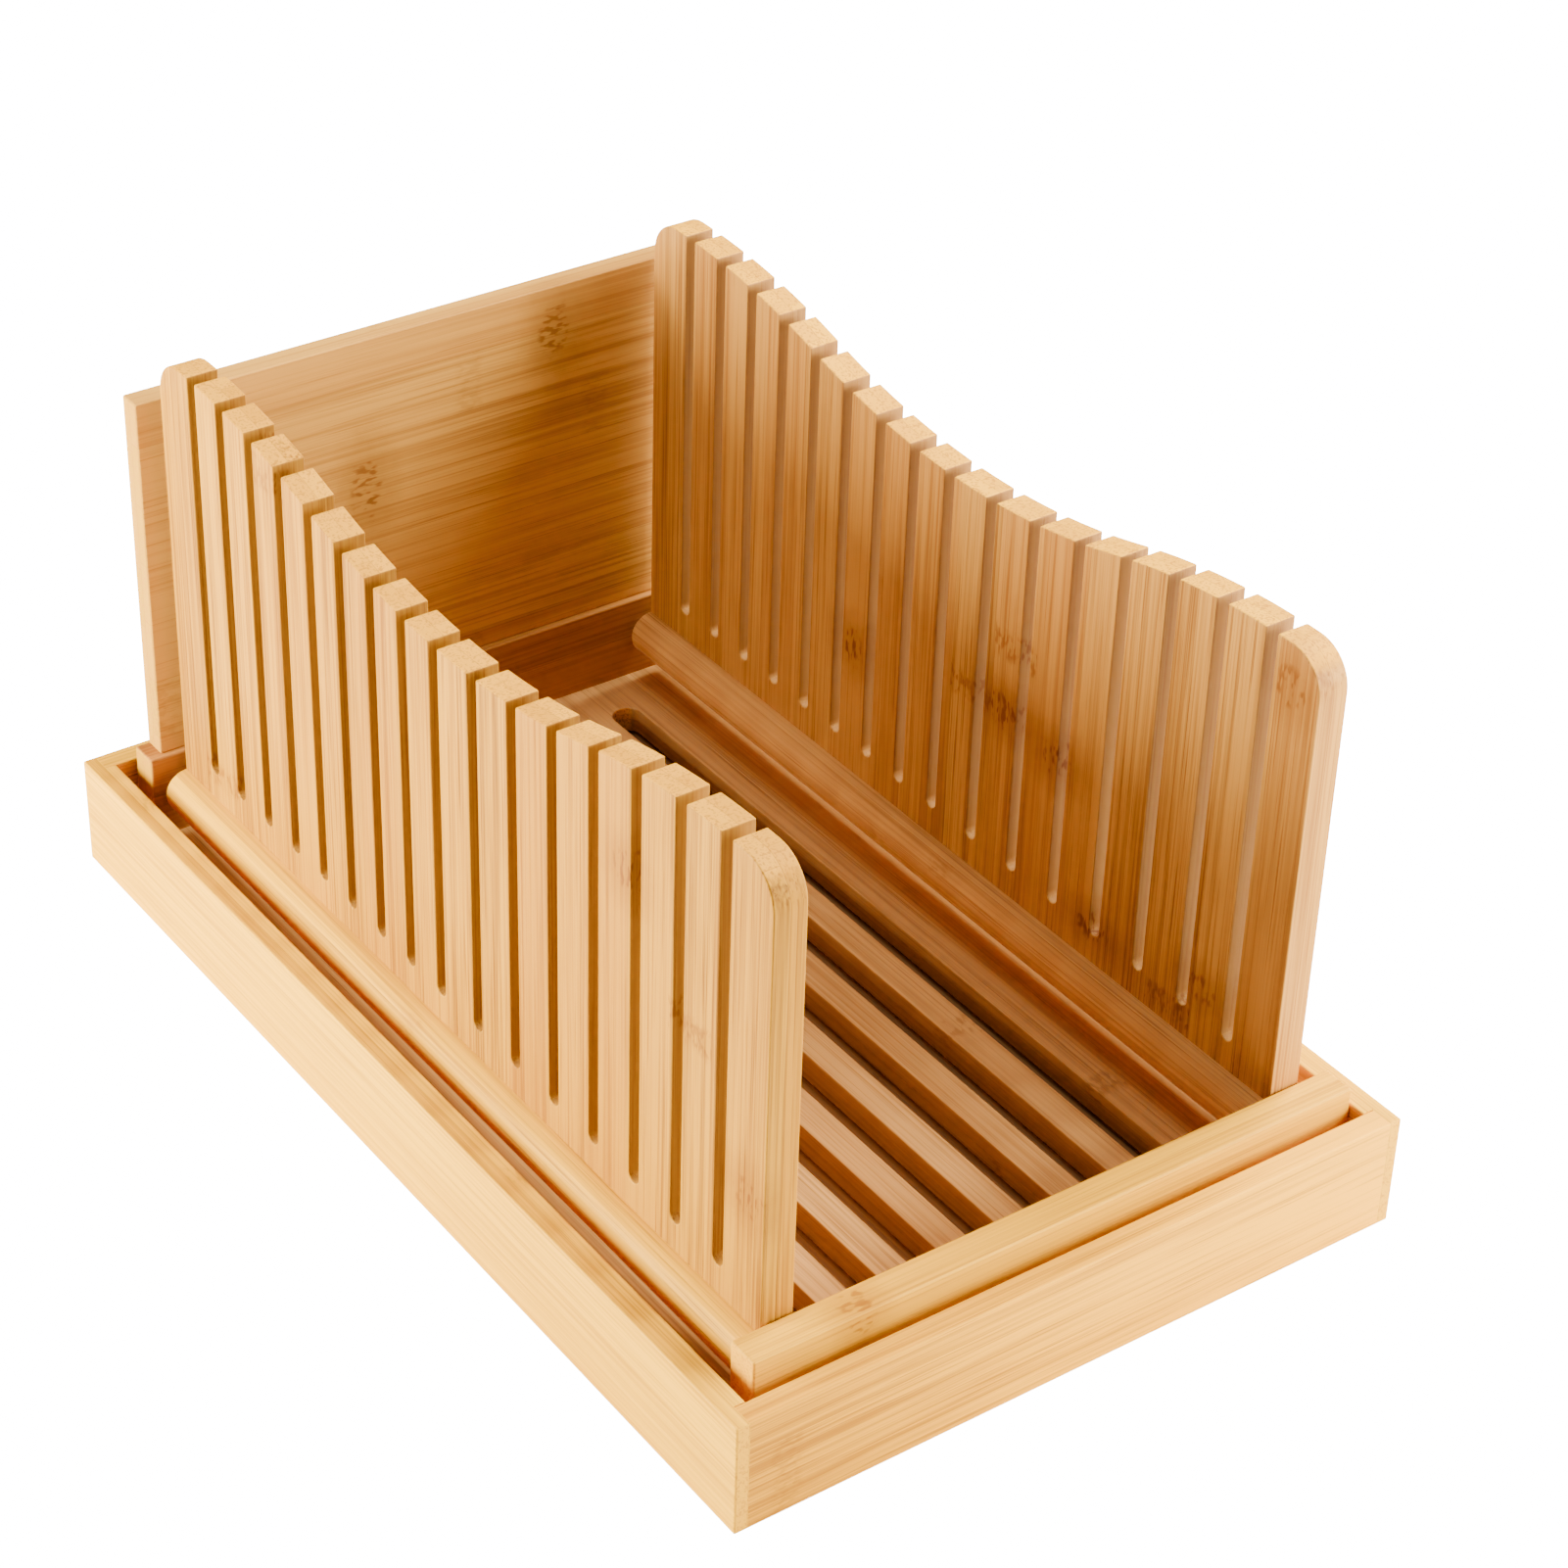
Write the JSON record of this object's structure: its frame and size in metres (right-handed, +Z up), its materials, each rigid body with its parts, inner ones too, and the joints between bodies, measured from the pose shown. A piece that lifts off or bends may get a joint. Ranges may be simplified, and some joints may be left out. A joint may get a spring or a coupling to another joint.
{
  "type": "bread slicer guide",
  "caption": "Bamboo bread slicing guide: slotted knife guides that fold onto a slotted board, with a back panel, standing in a crumb tray.",
  "frame": {"origin": "centre of the crumb tray's footprint, on the surface it stands on", "axes": "+X to the right seen from the front, +Y from the front to the back panel, +Z up"},
  "size_m": [0.232, 0.37, 0.189],
  "materials": {
    "bamboo_tray": "satin lacquered bamboo",
    "bamboo_base": "satin lacquered bamboo",
    "bamboo_guide": "satin lacquered bamboo",
    "bamboo_panel": "satin lacquered bamboo",
    "dowel_wood": "plain turned wood",
    "pin_steel": "plain steel"
  },
  "bodies": {
    "tray": {"tray_left_wall": "bamboo_tray", "tray_right_wall": "bamboo_tray", "tray_front_wall": "bamboo_tray", "tray_rear_wall": "bamboo_tray", "tray_floor_panel": "bamboo_tray"},
    "slicer_base": {"slotted_board": "bamboo_base", "front_rail": "bamboo_base", "rear_rail": "bamboo_base", "front_rail_dowels": "dowel_wood", "rear_rail_dowels": "dowel_wood"},
    "left_guide": {"left_guide_plate": "bamboo_guide", "left_hinge_bar": "bamboo_guide", "left_front_pivot_pin": "pin_steel", "left_rear_pivot_pin": "pin_steel"},
    "right_guide": {"right_guide_plate": "bamboo_guide", "right_hinge_bar": "bamboo_guide", "right_front_pivot_pin": "pin_steel", "right_rear_pivot_pin": "pin_steel"},
    "panel": {"back_panel": "bamboo_panel", "back_panel_dowels": "dowel_wood"}
  },
  "joints": [
    {"name": "slicer_lift", "type": "slide", "parent": "tray", "child": "slicer_base", "axis": [0, 0, 1], "range_m": [0, 0.06]},
    {"name": "left_guide_fold", "type": "hinge", "parent": "slicer_base", "child": "left_guide", "pos_m": [-0.092, 0, 0.0321], "axis": [0, 1, 0], "range_deg": [0, 90]},
    {"name": "right_guide_fold", "type": "hinge", "parent": "slicer_base", "child": "right_guide", "pos_m": [0.0862, 0, 0.0321], "axis": [0, -1, 0], "range_deg": [0, 90]},
    {"name": "back_panel_lift", "type": "slide", "parent": "slicer_base", "child": "panel", "axis": [0, 0, 1], "range_m": [0, 0.05]}
  ]
}
